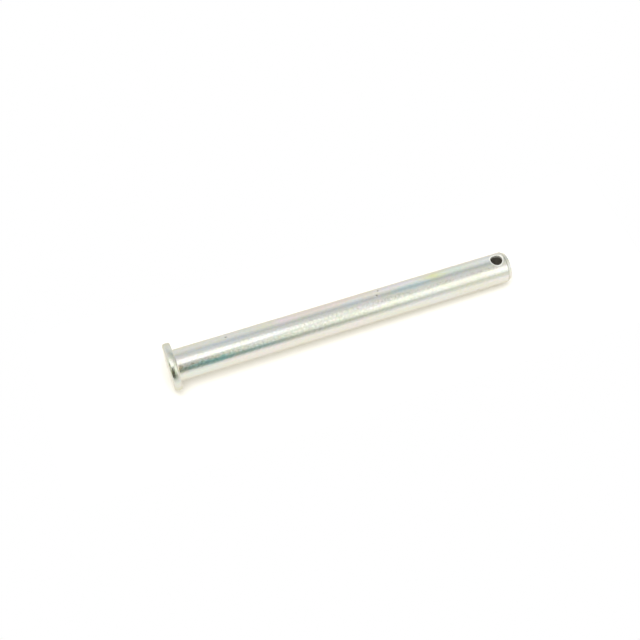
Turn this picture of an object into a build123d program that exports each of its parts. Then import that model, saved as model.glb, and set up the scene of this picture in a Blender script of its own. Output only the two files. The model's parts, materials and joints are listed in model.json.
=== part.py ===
"""Headed clevis pin of zinc-plated steel: 1/2 in shank, 5 1/2 in under the head.

The pin stands on its head with its axis along +Z.  The origin is the centre of the
head's outer face, and the cross hole near the tip runs along Y.
"""

import os

from build123d import *

# Shank, the turned rod that carries the load
shank_diameter = 12.7  # 1/2 in
shank_length = 139.7  # 5 1/2 in, from under the head to the end face of the tip

# Tip, bevelled so that it finds its way through the fork
bevel_length = 1.6  # along the axis
bevel_depth = 0.9  # off the radius
bevel_blend = 0.3  # rounds the bevel into the shank
end_edge_rounding = 0.15  # between the bevel and the end face

# Head, the upset collar that stops the pin in the fork
head_diameter = 19.05  # 3/4 in
head_thickness = 3.175  # 1/8 in
rim_rounding_outer = 0.8  # rim edge at the outer face, which the pin stands on
rim_rounding_inner = 0.6  # rim edge at the seat
neck_fillet = 0.4  # between the seat and the shank

# Cross hole, drilled straight through the shank
hole_diameter = 4.7625  # 3/16 in
hole_to_end = 5.0  # from the hole's axis to the end face of the tip
hole_edge_rounding = 0.3  # breaks the saddle-shaped edge at both mouths

shank_radius = shank_diameter / 2
head_radius = head_diameter / 2
end_face_radius = shank_radius - bevel_depth
end_face_height = head_thickness + shank_length
bevel_start_height = end_face_height - bevel_length
hole_height = end_face_height - hole_to_end

with BuildPart() as clevis_pin:
    # Head and shank are one turned profile, spun about the axis of the pin.
    # In the half section, X is the radius and Y is the height.
    with BuildSketch(Plane.XZ):
        with BuildLine():
            outline = FilletPolyline(
                (0, 0),
                (head_radius, 0),
                (head_radius, head_thickness),
                (shank_radius, head_thickness),
                (shank_radius, bevel_start_height),
                (end_face_radius, end_face_height),
                (0, end_face_height),
                radius=(
                    rim_rounding_outer,
                    rim_rounding_inner,
                    neck_fillet,
                    bevel_blend,
                    end_edge_rounding,
                ),
            )
            Line(outline @ 1, outline @ 0)
        make_face()
    revolve(axis=Axis.Z)

    # The drilled hole meets the round shank in two saddle-shaped edges, both broken
    with Locations(Plane.XZ.shift_origin((0, 0, hole_height))):
        Hole(radius=hole_diameter / 2)
    mouths = clevis_pin.edges(Select.LAST).filter_by(GeomType.LINE, reverse=True)
    fillet(mouths, radius=hole_edge_rounding)

clevis_pin.part.label = "clevis_pin"

os.makedirs("parts", exist_ok=True)
export_step(clevis_pin.part, "parts/clevis_pin.step")
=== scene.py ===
"""Builds the finished look of a zinc-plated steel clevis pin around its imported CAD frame.

The pin stands on its head with its axis along +Z, all sizes are in metres, and the
cross hole runs along Y.  The script is laid out as an add-on: sizes and colours are
properties, each piece is made by an operator, and main() calls the operators in order.
"""

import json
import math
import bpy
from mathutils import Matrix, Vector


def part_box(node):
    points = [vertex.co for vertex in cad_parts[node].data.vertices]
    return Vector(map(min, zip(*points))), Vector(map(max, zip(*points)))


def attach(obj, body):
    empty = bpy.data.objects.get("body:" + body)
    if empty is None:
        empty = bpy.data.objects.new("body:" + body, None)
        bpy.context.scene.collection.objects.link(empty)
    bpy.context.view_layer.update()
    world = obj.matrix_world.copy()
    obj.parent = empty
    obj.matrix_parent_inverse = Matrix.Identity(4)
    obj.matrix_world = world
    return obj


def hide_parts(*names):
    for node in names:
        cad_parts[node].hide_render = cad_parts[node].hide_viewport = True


bl_info = {
    "name": "Clevis Pin",
    "version": (1, 0, 0),
    "blender": (4, 5, 0),
    "location": "View3D > Sidebar > Clevis Pin",
    "description": "Builds a zinc-plated clevis pin and the studio that it stands in",
    "category": "Mesh",
}

from typing import NamedTuple

import bmesh
import bpy
from bpy.props import FloatProperty, FloatVectorProperty, PointerProperty
from mathutils import Quaternion, Vector, noise

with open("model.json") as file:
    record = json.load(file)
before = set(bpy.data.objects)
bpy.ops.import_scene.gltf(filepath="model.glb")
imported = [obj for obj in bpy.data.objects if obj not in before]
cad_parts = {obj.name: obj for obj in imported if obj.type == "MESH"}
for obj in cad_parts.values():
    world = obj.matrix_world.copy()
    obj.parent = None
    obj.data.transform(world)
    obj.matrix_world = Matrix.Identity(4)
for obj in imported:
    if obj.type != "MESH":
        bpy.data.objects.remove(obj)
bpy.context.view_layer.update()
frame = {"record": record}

NODE = "clevis_pin"
BODY = "root"
MILLIMETRE = 0.001
FULL_TURN = 2 * math.pi
QUARTER_TURN = math.pi / 2

MOUNTS = {mount["name"]: mount for mount in frame["record"]["mounts"]}
PIN_LOW, PIN_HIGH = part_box(NODE)


def mount_radius(name):
    """Radius in metres of one of the frame's round mounts."""
    return MOUNTS[name]["dims"]["r_mm"] * MILLIMETRE


def mount_height(name):
    """Height in metres of one of the frame's mounts."""
    return MOUNTS[name]["pos_m"][2]


# ---------------------------------------------------------------- properties


def length(name, description, millimetres):
    """A length property, given in millimetres and stored in metres."""
    return FloatProperty(
        name=name,
        description=description,
        default=millimetres * MILLIMETRE,
        min=0.0,
        precision=5,
        unit="LENGTH",
    )


def angle(name, description, degrees):
    """An angle property, given in degrees and stored in radians."""
    return FloatProperty(
        name=name, description=description, default=math.radians(degrees), unit="ROTATION"
    )


def share(name, description, default):
    """A share, from 0 up."""
    return FloatProperty(
        name=name,
        description=description,
        default=default,
        min=0.0,
        soft_max=1.0,
        subtype="FACTOR",
    )


def colour(name, description, default):
    """A linear colour property."""
    return FloatVectorProperty(
        name=name, description=description, default=default, size=3, subtype="COLOR", min=0.0
    )


class ClevisPinSizes(bpy.types.PropertyGroup):
    """Sizes of the pin. The main ones come from the frame."""

    overall: length(
        "Overall length", "Head's outer face to the tip's end face", PIN_HIGH.z / MILLIMETRE
    )
    shank_radius: length(
        "Shank radius", "Radius of the parallel shank", mount_radius("shank") / MILLIMETRE
    )
    head_radius: length("Head radius", "Radius of the collar head", PIN_HIGH.x / MILLIMETRE)
    seat_height: length(
        "Head thickness", "Height of the seat", mount_height("head_seat") / MILLIMETRE
    )
    hole_radius: length(
        "Hole radius", "Radius of the cross hole", mount_radius("cross_hole") / MILLIMETRE
    )
    hole_height: length(
        "Hole height", "Height of the hole's axis", mount_height("cross_hole") / MILLIMETRE
    )
    hole_lip: length("Hole lip", "Rounding of the hole's two mouths", 0.38)
    hole_burr: length("Hole burr", "Height of the raised ring round each mouth", 0.03)
    bevel_length: length("Bevel length", "Length of the tip's bevel along the axis", 1.6)
    bevel_depth: length("Bevel depth", "Depth of the tip's bevel off the radius", 0.9)
    bevel_blend: length("Bevel blend", "Rounding between the shank and the bevel", 0.12)
    end_rounding: length("End rounding", "Rounding between the bevel and the end face", 0.15)
    outer_rounding: length("Outer rounding", "Rounding of the rim at the outer face", 0.8)
    inner_rounding: length("Inner rounding", "Rounding of the rim at the seat", 0.6)
    rim_crown: length("Rim crown", "How far the rim's edges fall back from its middle", 0.18)
    neck_fillet: length("Neck fillet", "Fillet between the seat and the shank", 0.4)
    waviness: length("Waviness", "Depth of the drawn bar's long waves", 0.012)


class ClevisPinPlating(bpy.types.PropertyGroup):
    """Colours and finish of the zinc plating, and the painted shade deep in the cross hole."""

    zinc: colour("Zinc", "Colour of the clean plating", (0.66, 0.67, 0.65))
    edge: colour("Edge", "Tint of the plating seen at a low angle", (0.80, 0.77, 0.72))
    # Painted shade: this near-black colour deep in the cross hole stands in for the shade inside
    # it.
    hole: colour(
        "Hole", "Colour deep in the cross hole, where little plating reaches", (0.10, 0.095, 0.08)
    )
    mouth: colour("Mouth", "Colour of the cross hole's wall at its mouths", (0.72, 0.72, 0.68))
    roughness: share("Roughness", "Roughness of the plating", 0.12)
    roughness_spread: share("Roughness spread", "How much the roughness varies", 0.12)
    grain_size: length("Grain size", "Size of the plating's grain", 0.8)
    grain_depth: length("Grain depth", "Height of the plating's grain", 0.038)
    speckle: share("Speckle", "Strength of the film's fine colour speckle", 1.0)
    tint_strength: share("Tint strength", "Strength of the plating's rainbow film", 1.0)


class ClevisPinStudio(bpy.types.PropertyGroup):
    """Camera, paper and light."""

    aim: FloatVectorProperty(
        name="Aim",
        description="Point that the camera looks at",
        default=(-0.00172, 0.00105, 0.06272),
        size=3,
        subtype="TRANSLATION",
        unit="LENGTH",
    )
    azimuth: angle("Azimuth", "Camera's turn about the pin, from -Y towards +X", 35.27)
    elevation: angle("Elevation", "Camera's height above the horizon", -10.20)
    roll: angle("Roll", "Camera's turn about its own line of sight", 73.24)
    distance: length("Distance", "From the camera to its aim", 430.5)
    lens: FloatProperty(
        name="Lens", description="Focal length", default=60.9, unit="CAMERA", min=1.0
    )
    paper: colour("Paper", "Colour of the floor and the backdrop", (0.665, 0.665, 0.655))
    floor_glow: colour("Floor glow", "Light that the floor adds for the camera", (0.5, 0.5, 0.5))
    backdrop_glow: colour(
        "Backdrop glow", "Light that the backdrop adds for the camera", (0.205, 0.180, 0.135)
    )
    gloss_glow: colour("Gloss glow", "Light that both papers add for gloss", (0.90, 0.86, 0.79))
    gloss_share: share("Gloss share", "How much of the papers' shading gloss sees", 0.36)
    wall: colour("Wall", "Colour of the light that comes from all round", (1.15, 1.12, 1.07))
    lamp_energy: FloatProperty(
        name="Lamp energy",
        description="Power of the lamp over the backdrop",
        default=5.35,
        min=0.0,
        unit="POWER",
    )
    lamp_azimuth: angle("Lamp azimuth", "Lamp's turn about the pin, from -Y towards +X", 17.0)
    lamp_elevation: angle("Lamp elevation", "Lamp's height above the pin's middle", -6.0)
    lamp_distance: length("Lamp distance", "From the lamp to the pin", 800)
    lamp_size: length("Lamp size", "Side of the square lamp", 520)


# ---------------------------------------------------------------- pin: turned form


class Nick(NamedTuple):
    """A small dent in the shank: where it is, how long and wide, and how deep."""

    angle: float  # degrees about the axis, from +X towards +Y
    height: float  # millimetres above the head's outer face
    along: float  # millimetres, half-length along the axis
    across: float  # millimetres, half-width around the shank
    depth: float  # millimetres


NICKS = (
    Nick(-111, 87.4, 0.48, 0.40, 0.07),
    Nick(-90, 86.1, 0.38, 0.40, 0.07),
    Nick(-106, 24.3, 0.60, 0.34, 0.05),
    Nick(-57, 53.6, 0.25, 0.60, 0.04),
    Nick(-64, 55.2, 0.20, 0.70, 0.02),
    Nick(-60, 90.6, 0.60, 0.28, 0.04),
    Nick(-56, 96.0, 0.35, 0.25, 0.03),
    Nick(11, 127.9, 0.50, 0.28, 0.05),
    Nick(70, 40.0, 0.50, 0.25, 0.04),
    Nick(130, 76.0, 0.30, 0.40, 0.05),
    Nick(165, 112.0, 0.45, 0.25, 0.04),
    Nick(-160, 61.0, 0.30, 0.35, 0.04),
)

COLUMNS = 224  # round the axis, a multiple of four
WINDOW_COLUMNS = 20  # half-width, in columns, of the square of skin round each mouth
WINDOW_HALF_HEIGHT = 3.2 * MILLIMETRE
SKIN_RINGS = 8  # between that square and the mouth's lip
LIP_RINGS = 7
WALL_RINGS = 18
PLAIN_STEP = 0.9 * MILLIMETRE  # between rows of the plain shank
FINE_STEP = 0.16 * MILLIMETRE  # between rows where a nick lies
NICK_REACH = 0.9 * MILLIMETRE
MARK_DEPTH = 0.045  # millimetres; the plating is broken where a nick is deeper
SUPPORT = 0.03 * MILLIMETRE  # from the end of a rounding to the row that holds it
ARC_STEP = math.radians(11)
FACE_STEP = 1.6 * MILLIMETRE  # between rows of the two end faces
RIM_STEP = 0.4 * MILLIMETRE  # between rows of the head's rim and seat and of the tip's bevel
CALM_NEAR = 1 * MILLIMETRE  # from the seat to where the skin's waves begin
CALM_FAR = 6 * MILLIMETRE  # from the seat or a window to where the waves are in full
WAVE_ROUND = 1.3  # how fast the waves change round the shank
WAVE_LENGTH = 16 * MILLIMETRE
RIPPLE_CLOSER = 3  # how many times closer than the waves the ripples lie
RIPPLE_SHARE = 0.22  # the ripples' depth, as a share of the waves'
NICK_END = 9  # square of the widths from a nick's middle past which it is gone
NICK_RIM = 0.9  # how strongly a nick's metal is thrown up round it
BURR_START = 0.55  # share of the way from a window's edge to the lip where the burr begins


def smooth_step(low, high, value):
    """0 at low, 1 at high and smooth between them."""
    t = min(1.0, max(0.0, (value - low) / (high - low)))
    return t * t * (3 - 2 * t)


def arc_at(before, corner, after, radius):
    """Points of the arc that rounds a corner, from the side of before to that of after."""
    to_before = (before - corner).normalized()
    to_after = (after - corner).normalized()
    half = to_before.angle(to_after) / 2
    centre = corner + (to_before + to_after).normalized() * (radius / math.sin(half))
    start = corner + to_before * (radius / math.tan(half)) - centre
    end = corner + to_after * (radius / math.tan(half)) - centre
    sweep = start.angle(end)
    count = max(3, math.ceil(sweep / ARC_STEP))
    points = []
    for step in range(count + 1):
        t = step / count
        along = (math.sin((1 - t) * sweep) * start + math.sin(t * sweep) * end) / math.sin(sweep)
        points.append(centre + along)
    return points


def straight(start, end, step):
    """Points strictly between two profile points, about one step apart, with supports."""
    reach = (end - start).length
    if reach < 4 * SUPPORT:
        return []
    direction = (end - start).normalized()
    count = max(1, round(reach / step))
    inner = [start + direction * (reach * k / count) for k in range(1, count)]
    return [start + direction * SUPPORT, *inner, end - direction * SUPPORT]


def shank_heights(low, high, window_low, window_high):
    """Heights of the shank's rows: even by the hole, and close together at each nick."""
    heights = [low + SUPPORT]
    fine = [nick.height * MILLIMETRE for nick in NICKS]
    while heights[-1] < window_low:
        near = any(abs(heights[-1] - place) < NICK_REACH for place in fine)
        heights.append(heights[-1] + (FINE_STEP if near else PLAIN_STEP))
    while window_low - heights[-1] < FINE_STEP:
        heights.pop()
    rows = 2 * WINDOW_COLUMNS
    for row in range(rows + 1):
        heights.append(window_low + (window_high - window_low) * row / rows)
    return [*heights, high - SUPPORT]


def turned_rows(size):
    """The pin's half profile as (radius, height) rows, and the row where the window starts."""
    bevel_start = size.overall - size.bevel_length
    corners = [
        Vector((0.0, 0.0)),
        Vector((size.head_radius, 0.0)),
        Vector((size.head_radius, size.seat_height)),
        Vector((size.shank_radius, size.seat_height)),
        Vector((size.shank_radius, bevel_start)),
        Vector((size.shank_radius - size.bevel_depth, size.overall)),
        Vector((0.0, size.overall)),
    ]
    radii = (
        size.outer_rounding,
        size.inner_rounding,
        size.neck_fillet,
        size.bevel_blend,
        size.end_rounding,
    )
    arcs = [
        arc_at(corners[k], corners[k + 1], corners[k + 2], radii[k]) for k in range(len(radii))
    ]
    outer, inner, neck, blend, end = arcs
    rows = straight(corners[0], outer[0], FACE_STEP)[1:]
    rows += outer + straight(outer[-1], inner[0], RIM_STEP)
    rows += inner + straight(inner[-1], neck[0], RIM_STEP) + neck
    window_low = size.hole_height - WINDOW_HALF_HEIGHT
    window_high = size.hole_height + WINDOW_HALF_HEIGHT
    heights = shank_heights(neck[-1].y, blend[0].y, window_low, window_high)
    first_window_row = len(rows) + heights.index(window_low)
    rows += [Vector((size.shank_radius, height)) for height in heights]
    rows += blend + straight(blend[-1], end[0], RIM_STEP) + end
    rows += straight(end[-1], corners[-1], FACE_STEP)[:-1]
    crown_rim(size, rows)
    return rows, first_window_row


def crown_rim(size, rows):
    """Lets the rows of the head's rim fall back towards its two edges."""
    middle = size.seat_height / 2
    rim = size.head_radius - 1.2 * max(size.outer_rounding, size.inner_rounding)
    for row in rows:
        if row.x > rim:
            row.x -= size.rim_crown * ((row.y - middle) / middle) ** 2


def skin_offset(size, turn, height):
    """How far the shank's skin lies off its true radius: long waves and nicks."""
    window = size.hole_height - WINDOW_HALF_HEIGHT
    calm = smooth_step(size.seat_height + CALM_NEAR, size.seat_height + CALM_FAR, height)
    calm *= 1 - smooth_step(window - CALM_FAR, window, height)
    if calm == 0:
        return 0.0
    around = (math.cos(turn) * WAVE_ROUND, math.sin(turn) * WAVE_ROUND)
    place = Vector((*around, height / WAVE_LENGTH))
    offset = size.waviness * noise.noise(place)
    place.z *= RIPPLE_CLOSER
    offset += size.waviness * RIPPLE_SHARE * noise.noise(place)
    for nick in NICKS:
        along = (height / MILLIMETRE - nick.height) / nick.along
        turned = (turn - math.radians(nick.angle) + math.pi) % FULL_TURN - math.pi
        across = turned * size.shank_radius / MILLIMETRE / nick.across
        far = along * along + across * across
        if far < NICK_END:
            offset -= nick.depth * MILLIMETRE * (1 - NICK_RIM * far) * math.exp(-far)
    return offset * calm


def add_rows(mesh, size, rows):
    """Adds the turned skin's points, one list per row, and returns them."""
    grid = []
    for radius, height in rows:
        on_shank = abs(radius - size.shank_radius) < 1e-9 and height < size.hole_height
        ring = []
        for column in range(COLUMNS):
            turn = FULL_TURN * column / COLUMNS
            out = radius + (skin_offset(size, turn, height) if on_shank else 0.0)
            ring.append(mesh.verts.new((out * math.cos(turn), out * math.sin(turn), height)))
        grid.append(ring)
    return grid


def window_columns(centre):
    """The columns of faces that a window round one mouth takes up."""
    return {(centre + k) % COLUMNS for k in range(-WINDOW_COLUMNS, WINDOW_COLUMNS)}


def skin_rows(mesh, grid, first_window_row):
    """Adds the faces between rows, leaving the two windows open."""
    open_columns = window_columns(COLUMNS // 4) | window_columns(3 * COLUMNS // 4)
    window_rows = range(first_window_row, first_window_row + 2 * WINDOW_COLUMNS)
    for row in range(len(grid) - 1):
        for column in range(COLUMNS):
            if row in window_rows and column in open_columns:
                continue
            after = (column + 1) % COLUMNS
            mesh.faces.new(
                (grid[row][column], grid[row][after], grid[row + 1][after], grid[row + 1][column])
            )


def cap(mesh, ring, height):
    """Closes a ring with a fan to a point on the axis."""
    middle = mesh.verts.new((0.0, 0.0, height))
    for column, point in enumerate(ring):
        mesh.faces.new((point, ring[(column + 1) % COLUMNS], middle))


def square_walk():
    """Column and row steps round a window's edge, starting in the middle of its +column side."""
    half = WINDOW_COLUMNS
    steps = [(half, row) for row in range(0, half)]
    steps += [(column, half) for column in range(half, -half, -1)]
    steps += [(-half, row) for row in range(half, -half, -1)]
    steps += [(column, -half) for column in range(-half, half)]
    steps += [(half, row) for row in range(-half, 0)]
    return steps


def join_loops(mesh, one, other):
    """Faces between two closed loops of as many points."""
    count = len(one)
    for k in range(count):
        after = (k + 1) % count
        mesh.faces.new((one[k], one[after], other[after], other[k]))


def add_mouth(mesh, size, grid, first_window_row, side):
    """Fills the window on one side, from its edge to the lip, and returns the lip's last loop."""
    centre = COLUMNS // 4 if side > 0 else 3 * COLUMNS // 4
    walk = square_walk()
    middle_row = first_window_row + WINDOW_COLUMNS
    edge = [grid[middle_row + row][(centre - side * column) % COLUMNS] for column, row in walk]
    turns = [FULL_TURN * k / len(walk) for k in range(len(walk))]
    lip_radius = size.hole_radius + size.hole_lip

    def on_skin(across, height, sunk):
        deep = math.sqrt(size.shank_radius**2 - across**2)
        return mesh.verts.new((across, side * (deep - sunk), height))

    last = edge
    for ring in range(1, SKIN_RINGS + 1):
        t = ring / SKIN_RINGS
        lift = size.hole_burr * smooth_step(BURR_START, 1.0, t)
        loop = []
        for start, turn in zip(edge, turns):
            across = (1 - t) * start.co.x + t * lip_radius * math.cos(turn)
            height = (1 - t) * start.co.z + t * (size.hole_height + lip_radius * math.sin(turn))
            loop.append(on_skin(across, height, -lift))
        join_loops(mesh, last, loop)
        last = loop
    for ring in range(1, LIP_RINGS + 1):
        q = QUARTER_TURN * ring / LIP_RINGS
        radius = lip_radius - size.hole_lip * math.sin(q)
        sunk = size.hole_lip * (1 - math.cos(q)) - size.hole_burr * math.cos(q)
        loop = [
            on_skin(radius * math.cos(turn), size.hole_height + radius * math.sin(turn), sunk)
            for turn in turns
        ]
        join_loops(mesh, last, loop)
        last = loop
    return last


def add_hole_wall(mesh, near, far):
    """The drilled wall from one mouth's lip to the other's, as faces of material 1."""
    first_face = len(mesh.faces)
    last = near
    for ring in range(1, WALL_RINGS):
        t = ring / WALL_RINGS
        loop = [mesh.verts.new(a.co.lerp(b.co, t)) for a, b in zip(near, far)]
        join_loops(mesh, last, loop)
        last = loop
    join_loops(mesh, last, far)
    mesh.faces.ensure_lookup_table()
    for face in mesh.faces[first_face:]:
        face.material_index = 1


def pin_mesh(size):
    """The whole pin as one closed mesh, with the hole's wall as its own material."""
    mesh = bmesh.new()
    rows, first_window_row = turned_rows(size)
    grid = add_rows(mesh, size, rows)
    skin_rows(mesh, grid, first_window_row)
    cap(mesh, grid[0], 0.0)
    cap(mesh, grid[-1], size.overall)
    near = add_mouth(mesh, size, grid, first_window_row, -1)
    far = add_mouth(mesh, size, grid, first_window_row, 1)
    add_hole_wall(mesh, near, far)
    loose = [point for point in mesh.verts if not point.link_faces]
    bmesh.ops.delete(mesh, geom=loose, context="VERTS")
    bmesh.ops.recalc_face_normals(mesh, faces=mesh.faces)
    for face in mesh.faces:
        face.smooth = True
    data = bpy.data.meshes.new("zinc_clevis_pin")
    mesh.to_mesh(data)
    mesh.free()
    return data


# ---------------------------------------------------------------- nodes


def add_node(tree, kind, **inputs):
    """Adds a node. A linked socket joins an input; any other value is set on it."""
    node = tree.nodes.new(kind)
    for name, value in inputs.items():
        set_input(tree, node, name, value)
    return node


def set_input(tree, node, name, value):
    """Sets or links one input, named by its label with spaces as underscores, or by number."""
    key = int(name[1:]) if name[0] == "n" and name[1:].isdigit() else name.replace("_", " ")
    socket = node.inputs[key]
    if isinstance(value, bpy.types.NodeSocket):
        tree.links.new(value, socket)
    else:
        socket.default_value = value


def math_node(tree, operation, first, second=None, third=None):
    """Result of a Math node."""
    node = tree.nodes.new("ShaderNodeMath")
    node.operation = operation
    for index, value in enumerate((first, second, third)):
        if value is not None:
            set_input(tree, node, f"n{index}", value)
    return node.outputs[0]


def vector_node(tree, operation, first, second=None, output="Vector"):
    """Result of a Vector Math node."""
    node = tree.nodes.new("ShaderNodeVectorMath")
    node.operation = operation
    for index, value in enumerate((first, second)):
        if value is not None:
            set_input(tree, node, f"n{index}", value)
    return node.outputs[output]


def combine(tree, value):
    """One number as all three parts of a vector."""
    node = add_node(tree, "ShaderNodeCombineXYZ", X=value, Y=value, Z=value)
    return node.outputs[0]


def map_range(tree, value, low, high, to_low=0.0, to_high=1.0):
    """Value smoothly carried from one range to another, and held at its ends."""
    node = tree.nodes.new("ShaderNodeMapRange")
    node.interpolation_type = "SMOOTHSTEP"
    for index, item in enumerate((value, low, high, to_low, to_high)):
        set_input(tree, node, f"n{index}", item)
    return node.outputs[0]


def mix_colour(tree, factor, first, second, blend="MIX"):
    """Result of a colour Mix node."""
    node = tree.nodes.new("ShaderNodeMix")
    node.data_type = "RGBA"
    node.blend_type = blend
    set_input(tree, node, "n0", factor)
    set_input(tree, node, "n6", as_rgba(first))
    set_input(tree, node, "n7", as_rgba(second))
    return node.outputs[2]


def as_rgba(value):
    """A colour with its alpha, or a socket as it is."""
    return value if isinstance(value, bpy.types.NodeSocket) else (*value, 1.0)


def noise_node(tree, place, size, stretch=(1, 1, 1), detail=2.0, roughness=0.5, output="Fac"):
    """Noise whose features are about size metres, longer along an axis by its stretch."""
    scaled = vector_node(tree, "DIVIDE", place, stretch)
    node = tree.nodes.new("ShaderNodeTexNoise")
    set_input(tree, node, "Vector", scaled)
    set_input(tree, node, "Scale", 1 / size)
    set_input(tree, node, "Detail", detail)
    set_input(tree, node, "Roughness", roughness)
    return node.outputs[output]


def new_group(name, inputs, outputs):
    """A shader node group with sockets given as {name: (kind, default)} and {name: kind}."""
    group = bpy.data.node_groups.new(name, "ShaderNodeTree")
    for label, (kind, default) in inputs.items():
        socket = group.interface.new_socket(label, in_out="INPUT", socket_type=kind)
        if default is not None:
            socket.default_value = default
    for label, kind in outputs.items():
        group.interface.new_socket(label, in_out="OUTPUT", socket_type=kind)
    start = group.nodes.new("NodeGroupInput")
    end = group.nodes.new("NodeGroupOutput")
    return group, start.outputs, end.inputs


def place_group(tree, group, **values):
    """Places a group in a tree with its own values, and returns its outputs."""
    node = tree.nodes.new("ShaderNodeGroup")
    node.node_tree = group
    for name, value in values.items():
        set_input(tree, node, name, value)
    return node.outputs


# ---------------------------------------------------------------- plating


class Tint(NamedTuple):
    """A patch where the plating's clear film shows a colour."""

    angle: float  # degrees about the axis, from +X towards +Y
    height: float  # millimetres above the head's outer face
    along: float  # millimetres, half-length along the axis
    across: float  # millimetres, half-width around the shank
    colour: tuple  # multiplies the zinc's colour


# Tones of the film. Each multiplies the zinc's colour.
STRAW = (1.0, 1.03, 0.70)
MINT = (0.92, 1.02, 0.99)
GREEN = (0.96, 1.01, 0.98)
ROSE = (1.07, 0.97, 0.96)
BLUSH = (1.03, 0.99, 0.99)
LILAC = (1.08, 0.97, 1.05)
SKY = (0.96, 1.0, 1.06)
BLUE = (0.86, 1.0, 1.04)
TEAL = (0.56, 1.0, 1.07)
DEEP = (0.74, 1.0, 1.06)
BROWN = (1.12, 0.98, 0.82)
OLIVE = (1.02, 1.02, 0.90)
HAZE = (1.02, 0.99, 1.10)
BURNISHED = (1.42, 1.41, 1.39)  # on the drilled edges
DULL = (0.92, 0.93, 0.90)  # on the head's rim
BROKEN = (0.34, 0.33, 0.31)  # in the deeper nicks
EDGE_FILM = (0.72, 0.71, 0.63)  # along the bevel's edge
CALM_FILM = (1.0, 1.0, 0.98)
CLEAR = (1, 1, 1)

DRIFT_SIZE = 0.007
DRIFT_STOPS = (0.30, 0.42, 0.52, 0.62, 0.72)
RAGGED_SIZE = 0.0016
RAGGED_REACH = (0.0025, 0.0025, 0.006)  # how far a tint's edge strays from its outline
SPECKLE_SIZE = 0.0009
SPECKLE_REACH = (0.22, 0.12, 0.30)
BROKEN_SHARE = 0.9
LINE_REACH = 0.32 * MILLIMETRE  # from the bevel's edge to where its line is gone
LINE_CORE = 0.08 * MILLIMETRE
DULL_FROM, DULL_FULL = 0.82, 0.92  # shares of the head's radius
# Over these shares the hole's painted shade gives way to the mouth's colour.
MOUTH_FROM, MOUTH_FULL = 0.78, 0.95  # shares of the shank's radius
LINES_SHARE = 0.35  # height of the drawn lines beside the grain's
TURNING_SHARE = 0.15  # height of the turning marks beside the grain's
PATCHES_SHARE = 0.4  # of the roughness mask; fine dots make up the rest
WALL_METALLIC = 0.3
WALL_ROUGHNESS = (0.45, 0.65)

TINTS = (
    Tint(-112, 32, 4, 2.2, GREEN),
    Tint(-112, 67, 22, 2.6, ROSE),
    Tint(-104, 48, 6, 2.2, LILAC),
    Tint(-84, 22, 17, 1.6, SKY),
    Tint(-90, 76, 6, 2.0, SKY),
    Tint(-112, 96, 12, 2.0, HAZE),
    Tint(-86, 101, 10, 1.8, BLUE),
    Tint(-105, 112, 6, 2.2, STRAW),
    Tint(-104, 120, 7, 2.6, MINT),
    Tint(-104, 134, 8, 3.0, SKY),
    Tint(-38, 4.4, 2.4, 2.0, BROWN),
    Tint(-33, 16, 12, 1.4, TEAL),
    Tint(-30, 36, 11, 1.3, DEEP),
    Tint(-30, 132, 15, 1.1, OLIVE),
    Tint(-8, 13, 10, 3.2, GREEN),
    Tint(-8, 38, 18, 3.2, BLUSH),
    Tint(-5, 76, 8, 3.2, BLUSH),
)


def tint_patch(tree, place, tint, radius):
    """Mask of one patch: 1 in its middle, 0 past its edge."""
    turn = math.radians(tint.angle)
    middle = (radius * math.cos(turn), radius * math.sin(turn), tint.height * MILLIMETRE)
    spread = (tint.across * MILLIMETRE, tint.across * MILLIMETRE, tint.along * MILLIMETRE)
    away = vector_node(tree, "SUBTRACT", place, middle)
    away = vector_node(tree, "DIVIDE", away, spread)
    return map_range(tree, vector_node(tree, "LENGTH", away, output="Value"), 1.3, 0.2)


def edge_line(tree, place, film, size):
    """Darkens the film in a thin, uneven line where the tip's bevel starts."""
    parts = tree.nodes.new("ShaderNodeSeparateXYZ")
    set_input(tree, parts, "Vector", place)
    past = math_node(tree, "SUBTRACT", parts.outputs["Z"], size.overall - size.bevel_length)
    near = map_range(tree, math_node(tree, "ABSOLUTE", past), LINE_REACH, LINE_CORE)
    broken = noise_node(tree, place, 0.0015)
    near = math_node(tree, "MULTIPLY", near, map_range(tree, broken, 0.30, 0.55, 0.35, 1.0))
    return mix_colour(tree, near, film, EDGE_FILM)


def worn_parts(tree, place, film, size):
    """Dulls the film on the head's rim and brightens it on the cross hole's drilled edges."""
    flat = vector_node(tree, "MULTIPLY", place, (1, 1, 0))
    out = vector_node(tree, "LENGTH", flat, output="Value")
    rim = map_range(tree, out, DULL_FROM * size.head_radius, DULL_FULL * size.head_radius)
    dulled = mix_colour(tree, 1.0, film, DULL, "MULTIPLY")
    film = mix_colour(tree, rim, film, dulled)
    beside = vector_node(tree, "SUBTRACT", place, (0, 0, size.hole_height))
    beside = vector_node(tree, "MULTIPLY", beside, (1, 0, 1))
    away = vector_node(tree, "LENGTH", beside, output="Value")
    lip_radius = size.hole_radius + size.hole_lip
    lip = map_range(tree, away, lip_radius + 0.7 * size.hole_lip, lip_radius)
    return mix_colour(tree, lip, film, BURNISHED)


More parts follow.
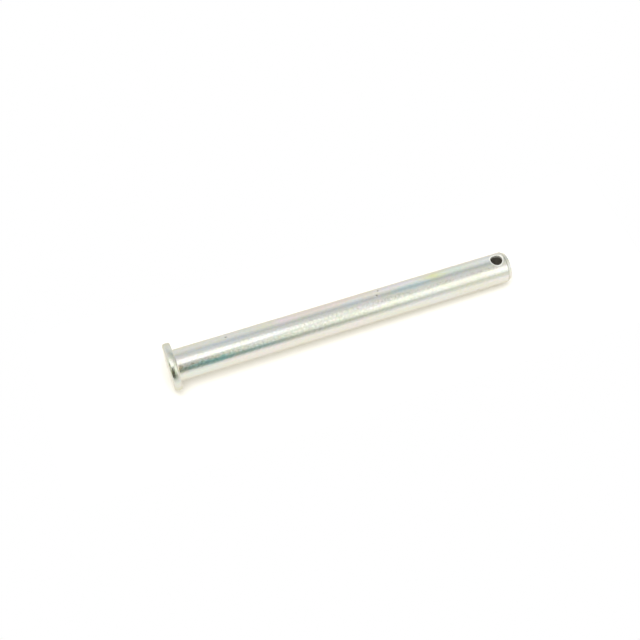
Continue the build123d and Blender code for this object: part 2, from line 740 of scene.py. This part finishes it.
def film_group(size):
    """Colour of the plating: zinc under a thin film whose colour drifts over the pin."""
    group, given, made = new_group(
        "Plating film",
        {
            "Position": ("NodeSocketVector", None),
            "Zinc": ("NodeSocketColor", (0.8, 0.8, 0.8, 1.0)),
            "Strength": ("NodeSocketFloat", 1.0),
            "Speckle": ("NodeSocketFloat", 1.0),
        },
        {"Color": "NodeSocketColor"},
    )
    place = given["Position"]
    drift = noise_node(group, place, DRIFT_SIZE, (1, 1, 3.5))
    ramp = group.nodes.new("ShaderNodeValToRGB")
    pale = [tuple(0.7 + 0.3 * part for part in tone) for tone in (SKY, STRAW, ROSE, MINT)]
    stops = tuple(zip(DRIFT_STOPS, (pale[0], CALM_FILM, *pale[1:])))
    while len(ramp.color_ramp.elements) < len(stops):
        ramp.color_ramp.elements.new(0.5)
    for element, (position, tone) in zip(ramp.color_ramp.elements, stops):
        element.position = position
        element.color = (*tone, 1.0)
    group.links.new(drift, ramp.inputs[0])
    film = ramp.outputs[0]
    ragged = noise_node(group, place, RAGGED_SIZE, (1, 1, 1.8), detail=3.0, output="Color")
    ragged = vector_node(group, "SUBTRACT", ragged, (0.5, 0.5, 0.5))
    ragged = vector_node(group, "MULTIPLY", ragged, RAGGED_REACH)
    shifted = vector_node(group, "ADD", place, ragged)
    for tint in TINTS:
        mask = tint_patch(group, shifted, tint, size.shank_radius)
        film = mix_colour(group, mask, film, tint.colour)
    film = mix_colour(group, given["Strength"], CLEAR, film)
    speckle = noise_node(group, place, SPECKLE_SIZE, (1, 1, 1.6), output="Color")
    speckle = vector_node(group, "SUBTRACT", speckle, (0.5, 0.5, 0.5))
    speckle = vector_node(group, "MULTIPLY", speckle, SPECKLE_REACH)
    speckle = vector_node(group, "MULTIPLY", speckle, combine(group, given["Speckle"]))
    speckle = vector_node(group, "ADD", speckle, CLEAR)
    film = mix_colour(group, 1.0, film, speckle, "MULTIPLY")
    for nick in NICKS:
        if nick.depth > MARK_DEPTH:
            mask = tint_patch(group, place, nick, size.shank_radius)
            mask = math_node(group, "MULTIPLY", mask, BROKEN_SHARE)
            film = mix_colour(group, mask, film, BROKEN)
    film = worn_parts(group, place, film, size)
    film = edge_line(group, place, film, size)
    group.links.new(mix_colour(group, 1.0, given["Zinc"], film, "MULTIPLY"), made["Color"])
    return group


def grain_group():
    """Height and roughness mask of the plating's fine grain and drawn lines."""
    group, given, made = new_group(
        "Plating grain",
        {"Position": ("NodeSocketVector", None), "Size": ("NodeSocketFloat", 0.0005)},
        {"Height": "NodeSocketFloat", "Mask": "NodeSocketFloat"},
    )
    place = vector_node(group, "DIVIDE", given["Position"], combine(group, given["Size"]))
    grain = noise_node(group, place, 1.0, (1, 1, 1.4), detail=3.0, roughness=0.6)
    lines = noise_node(group, place, 0.8, (1, 1, 14), detail=1.0)
    turning = noise_node(group, place, 0.5, (12, 12, 1), detail=1.0)
    height = math_node(group, "MULTIPLY_ADD", lines, LINES_SHARE, grain)
    height = math_node(group, "MULTIPLY_ADD", turning, TURNING_SHARE, height)
    group.links.new(height, made["Height"])
    patches = noise_node(group, place, 9.0, (1, 1, 3))
    dots = noise_node(group, place, 0.9, (1, 1, 1.3), detail=1.0)
    mask = math_node(group, "MULTIPLY", dots, 1 - PATCHES_SHARE)
    mask = math_node(group, "MULTIPLY_ADD", patches, PATCHES_SHARE, mask)
    group.links.new(map_range(group, mask, 0.38, 0.62), made["Mask"])
    return group


def mouth_mask(tree, size):
    """1 at the cross hole's mouths and 0 deep inside it, where the painted shade is."""
    place = tree.nodes.new("ShaderNodeTexCoord").outputs["Object"]
    flat = vector_node(tree, "MULTIPLY", place, (1, 1, 0))
    out = vector_node(tree, "LENGTH", flat, output="Value")
    return map_range(tree, out, MOUTH_FROM * size.shank_radius, MOUTH_FULL * size.shank_radius)


def plating_material(name, plating, film, grain, colour_value, metallic, roughness, depth):
    """Metal with the shared film and grain, each with this material's own values."""
    material = bpy.data.materials.new(name)
    material.use_nodes = True
    tree = material.node_tree
    shader = tree.nodes["Principled BSDF"]
    place = tree.nodes.new("ShaderNodeTexCoord").outputs["Object"]
    tone = place_group(
        tree,
        film,
        Position=place,
        Zinc=as_rgba(colour_value),
        Strength=plating.tint_strength,
        Speckle=plating.speckle,
    )
    texture = place_group(tree, grain, Position=place, Size=plating.grain_size)
    set_input(tree, shader, "Base_Color", tone["Color"])
    shader.inputs["Metallic"].default_value = metallic
    shader.inputs["Specular Tint"].default_value = (*plating.edge, 1.0)
    low, high = roughness
    set_input(tree, shader, "Roughness", map_range(tree, texture["Mask"], 0.0, 1.0, low, high))
    bump = add_node(tree, "ShaderNodeBump", Height=texture["Height"], Distance=depth)
    set_input(tree, shader, "Normal", bump.outputs[0])
    return material


def wall_material(size, plating, film, grain):
    """The cross hole's wall: bright at its mouths, and dull, with a painted shade making it dark,
    deep inside.
    """
    depth = plating.grain_depth * 2
    material = plating_material(
        "hole_wall", plating, film, grain, plating.hole, WALL_METALLIC, WALL_ROUGHNESS, depth
    )
    tree = material.node_tree
    base = tree.nodes["Principled BSDF"].inputs["Base Color"]
    deep = base.links[0].from_socket
    # Painted shade: the near-black colour deep in the hole gives way to the mouth's colour at the
    # mouths.
    tree.links.new(mix_colour(tree, mouth_mask(tree, size), deep, plating.mouth), base)
    return material


class ClevisPinBuild(bpy.types.Operator):
    """Build the pin: its turned skin, its drilled hole and its zinc plating"""

    bl_idname = "clevis_pin.build"
    bl_label = "Build pin"
    bl_options = {"REGISTER", "UNDO"}

    def execute(self, context):
        size = context.scene.clevis_pin_sizes
        plating = context.scene.clevis_pin_plating
        pin = bpy.data.objects.new("zinc_clevis_pin", pin_mesh(size))
        context.scene.collection.objects.link(pin)
        film = film_group(size)
        grain = grain_group()
        rough = (plating.roughness, plating.roughness + plating.roughness_spread)
        skin = plating_material(
            "zinc_plate", plating, film, grain, plating.zinc, 1.0, rough, plating.grain_depth
        )
        pin.data.materials.append(skin)
        pin.data.materials.append(wall_material(size, plating, film, grain))
        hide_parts(NODE)
        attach(pin, BODY)
        return {"FINISHED"}


# ---------------------------------------------------------------- studio


class SoftLight(NamedTuple):
    """A soft-edged bright or dark disc in the light that comes from all round."""

    name: str
    azimuth: float  # degrees from -Y towards +X
    elevation: float  # degrees above the pin's seat
    core: float  # degrees from its middle to where it starts to fade
    fade: float  # degrees from there to where it is gone
    level: tuple  # added to the wall's colour; a dark disc has a negative level


SOFT_LIGHTS = (
    SoftLight("front box", 18, -7, 14, 11, (1.30, 1.29, 1.30)),
    SoftLight("high box", 50, 11, 14, 17, (0.55, 0.56, 0.53)),
    SoftLight("dark lens", 56, -32, 30, 12, (-1.17, -1.16, -1.18)),
    SoftLight("dark side", 77, -23, 0, 55, (-1.65, -1.47, -1.50)),
    SoftLight("gap between boxes", 22, -5, 17, 14, (-0.75, -0.72, -0.67)),
    SoftLight("gap behind", -42, 34, 16, 44, (-0.57, -0.51, -0.44)),
    SoftLight("back glow", -56, 27, 8, 28, (0.56, 0.51, 0.43)),
    SoftLight("roof", 35, 82, 18, 24, (0.12, 0.12, 0.12)),
    SoftLight("roof edge", 35, 50, 6, 14, (-0.05, -0.05, -0.06)),
    SoftLight("low side glow", 58, -38, 14, 16, (1.60, 1.50, 1.40)),
    SoftLight("low back glow", 100, -20, 8, 14, (0.50, 0.47, 0.41)),
    SoftLight("low front box", 38, -15, 8, 10, (1.15, 1.13, 1.12)),
)

ROOM_DARK = (0.14, 0.125, 0.10)  # the room is nowhere darker than this
TABLE_LIGHT = (1.07, 1.05, 1.02)
WHITE = (1.0, 1.0, 1.0)
TABLE_UP = Vector((0.067, -0.998, 0.0))  # the backdrop's side of the light
TABLE_EDGE = -0.10  # sine of the angle below which the paper's own white begins
TABLE_BLEND = 0.04
PAPER_GAP = 0.02 * MILLIMETRE
FLOOR_RADIUS = 600 * MILLIMETRE
PAPER_HALF_WIDTH = 40 * MILLIMETRE
PAPER_BELOW = 50 * MILLIMETRE
PAPER_ABOVE = 200 * MILLIMETRE
FLOOR_SEGMENTS = 96


def bearing(azimuth, elevation):
    """Direction from the pin at two angles in radians, the first from -Y towards +X."""
    flat = math.cos(elevation)
    return Vector((math.sin(azimuth) * flat, -math.cos(azimuth) * flat, math.sin(elevation)))


def build_world(studio):
    """White to the camera; to everything else, a pale room with soft lights and gaps."""
    world = bpy.data.worlds.new("studio_light")
    world.use_nodes = True
    bpy.context.scene.world = world
    tree = world.node_tree
    tree.nodes.clear()
    direction = tree.nodes.new("ShaderNodeTexCoord").outputs["Generated"]
    direction = vector_node(tree, "NORMALIZE", direction)
    light = tuple(studio.wall)
    for soft in SOFT_LIGHTS:
        middle = bearing(math.radians(soft.azimuth), math.radians(soft.elevation))
        near = vector_node(tree, "DOT_PRODUCT", direction, middle, output="Value")
        away = math_node(tree, "ARCCOSINE", near)
        outer = math.radians(soft.core + soft.fade)
        disc = map_range(tree, away, outer, math.radians(soft.core))
        disc.node.label = soft.name
        lit = vector_node(tree, "MULTIPLY", combine(tree, disc), soft.level)
        light = vector_node(tree, "ADD", light, lit)
    light = vector_node(tree, "MAXIMUM", light, ROOM_DARK)
    up = vector_node(tree, "DOT_PRODUCT", direction, TABLE_UP, output="Value")
    above = map_range(tree, up, TABLE_EDGE - TABLE_BLEND, TABLE_EDGE + TABLE_BLEND)
    light = mix_colour(tree, above, TABLE_LIGHT, light)
    seen = tree.nodes.new("ShaderNodeLightPath").outputs["Is Camera Ray"]
    light = mix_colour(tree, seen, light, WHITE)
    background = add_node(tree, "ShaderNodeBackground", Color=light, Strength=1.0)
    output = tree.nodes.new("ShaderNodeOutputWorld")
    tree.links.new(background.outputs[0], output.inputs["Surface"])


def paper_material(name, studio, glow):
    """Matt paper, clear from behind, that adds a little light of its own.

    Gloss sees less of the paper's shading and more of its own light than the camera does.
    """
    material = bpy.data.materials.new(name)
    material.use_nodes = True
    tree = material.node_tree
    tree.nodes.clear()
    path = tree.nodes.new("ShaderNodeLightPath").outputs
    dimmed = tuple(studio.gloss_share * part for part in studio.paper)
    shade = mix_colour(tree, path["Is Glossy Ray"], studio.paper, dimmed)
    matt = add_node(tree, "ShaderNodeBsdfDiffuse", Color=shade)
    own = mix_colour(tree, path["Is Camera Ray"], (0, 0, 0), glow)
    own = mix_colour(tree, path["Is Glossy Ray"], own, studio.gloss_glow)
    light = add_node(tree, "ShaderNodeEmission", Color=own, Strength=1.0)
    front = tree.nodes.new("ShaderNodeAddShader")
    tree.links.new(matt.outputs[0], front.inputs[0])
    tree.links.new(light.outputs[0], front.inputs[1])
    clear = tree.nodes.new("ShaderNodeBsdfTransparent")
    mix = tree.nodes.new("ShaderNodeMixShader")
    tree.links.new(tree.nodes.new("ShaderNodeNewGeometry").outputs["Backfacing"], mix.inputs[0])
    tree.links.new(front.outputs[0], mix.inputs[1])
    tree.links.new(clear.outputs[0], mix.inputs[2])
    output = tree.nodes.new("ShaderNodeOutputMaterial")
    tree.links.new(mix.outputs[0], output.inputs["Surface"])
    return material


def stage_object(name, points, faces, material):
    """A flat piece of the stage."""
    data = bpy.data.meshes.new(name)
    data.from_pydata(points, [], faces)
    data.materials.append(material)
    sheet = bpy.data.objects.new(name, data)
    bpy.context.scene.collection.objects.link(sheet)
    return sheet


def build_floor(size, material):
    """The floor under the head, open where the head covers it."""
    inner_radius = size.head_radius - size.outer_rounding * 0.5
    points = []
    for radius in (inner_radius, FLOOR_RADIUS):
        for k in range(FLOOR_SEGMENTS):
            turn = FULL_TURN * k / FLOOR_SEGMENTS
            points.append((radius * math.cos(turn), radius * math.sin(turn), -PAPER_GAP))
    faces = []
    for k in range(FLOOR_SEGMENTS):
        after = (k + 1) % FLOOR_SEGMENTS
        faces.append((k, k + FLOOR_SEGMENTS, after + FLOOR_SEGMENTS, after))
    floor = stage_object("floor", points, faces, material)
    floor.visible_diffuse = False
    floor.visible_glossy = False
    floor.visible_shadow = False


def build_backdrop(size, material):
    """The upright paper that the head's rim and the tip's edge touch."""
    towards = -TABLE_UP.normalized()
    upright = Vector((0.0, 0.0, 1.0))
    rim_height = size.seat_height / 2
    tip_height = size.overall - size.bevel_length
    lean = (size.shank_radius - size.head_radius) / (tip_height - rim_height)
    sideways = towards.cross(upright)

    def on_paper(across, height):
        out = size.head_radius + PAPER_GAP + lean * (height - rim_height)
        return towards * out + sideways * across + upright * height

    corners = [
        on_paper(-PAPER_HALF_WIDTH, -PAPER_BELOW),
        on_paper(PAPER_HALF_WIDTH, -PAPER_BELOW),
        on_paper(PAPER_HALF_WIDTH, PAPER_ABOVE),
        on_paper(-PAPER_HALF_WIDTH, PAPER_ABOVE),
    ]
    backdrop = stage_object("backdrop", corners, [(0, 1, 2, 3)], material)
    if backdrop.data.polygons[0].normal.dot(towards) > 0:
        backdrop.data.flip_normals()


def build_lamp(studio):
    """A soft lamp over the backdrop, which gives the pin its shadow."""
    data = bpy.data.lights.new("soft_lamp", "AREA")
    data.shape = "SQUARE"
    data.size = studio.lamp_size
    data.energy = studio.lamp_energy
    lamp = bpy.data.objects.new("soft_lamp", data)
    bpy.context.scene.collection.objects.link(lamp)
    middle = Vector((0.0, 0.0, (PIN_LOW.z + PIN_HIGH.z) / 2))
    towards = bearing(studio.lamp_azimuth, studio.lamp_elevation)
    lamp.location = middle + towards * studio.lamp_distance
    lamp.rotation_mode = "QUATERNION"
    lamp.rotation_quaternion = (middle - lamp.location).to_track_quat("-Z", "Y")
    lamp.visible_camera = False
    lamp.visible_glossy = False


def build_camera(studio):
    """The camera, turned about its own line of sight so that the pin lies across the frame."""
    data = bpy.data.cameras.new("camera")
    data.sensor_width = 36.0
    data.lens = studio.lens
    data.clip_start = 0.01
    data.clip_end = 10.0
    camera = bpy.data.objects.new("camera", data)
    bpy.context.scene.collection.objects.link(camera)
    back = bearing(studio.azimuth, studio.elevation)
    camera.location = Vector(studio.aim) + back * studio.distance
    level = (-back).to_track_quat("-Z", "Y")
    camera.rotation_mode = "QUATERNION"
    camera.rotation_quaternion = level @ Quaternion((0.0, 0.0, 1.0), studio.roll)
    bpy.context.scene.camera = camera


class ClevisPinStage(bpy.types.Operator):
    """Build the floor, the backdrop, the light and the camera"""

    bl_idname = "clevis_pin.stage"
    bl_label = "Build stage"
    bl_options = {"REGISTER", "UNDO"}

    def execute(self, context):
        size = context.scene.clevis_pin_sizes
        studio = context.scene.clevis_pin_studio
        context.scene.view_settings.view_transform = "Standard"
        build_floor(size, paper_material("floor_paper", studio, studio.floor_glow))
        build_backdrop(size, paper_material("backdrop_paper", studio, studio.backdrop_glow))
        build_world(studio)
        build_lamp(studio)
        build_camera(studio)
        return {"FINISHED"}


# ---------------------------------------------------------------- add-on


class ClevisPinPanel(bpy.types.Panel):
    """Sizes, colours and operators of the pin"""

    bl_idname = "VIEW3D_PT_clevis_pin"
    bl_label = "Clevis Pin"
    bl_space_type = "VIEW_3D"
    bl_region_type = "UI"
    bl_category = "Clevis Pin"

    def draw(self, context):
        layout = self.layout
        for group in ("clevis_pin_sizes", "clevis_pin_plating", "clevis_pin_studio"):
            values = getattr(context.scene, group)
            box = layout.box()
            for name in values.__annotations__:
                box.prop(values, name)
        layout.operator(ClevisPinStage.bl_idname)
        layout.operator(ClevisPinBuild.bl_idname)


CLASSES = (
    ClevisPinSizes,
    ClevisPinPlating,
    ClevisPinStudio,
    ClevisPinStage,
    ClevisPinBuild,
    ClevisPinPanel,
)


def register():
    """Registers the classes and hangs the properties on the scene."""
    for item in CLASSES:
        bpy.utils.register_class(item)
    bpy.types.Scene.clevis_pin_sizes = PointerProperty(type=ClevisPinSizes)
    bpy.types.Scene.clevis_pin_plating = PointerProperty(type=ClevisPinPlating)
    bpy.types.Scene.clevis_pin_studio = PointerProperty(type=ClevisPinStudio)


def unregister():
    """Takes the properties off the scene and unregisters the classes."""
    del bpy.types.Scene.clevis_pin_studio
    del bpy.types.Scene.clevis_pin_plating
    del bpy.types.Scene.clevis_pin_sizes
    for item in reversed(CLASSES):
        bpy.utils.unregister_class(item)


def main():
    """Builds the stage and the pin."""
    register()
    bpy.ops.clevis_pin.stage()
    bpy.ops.clevis_pin.build()


if __name__ == "__main__":
    main()
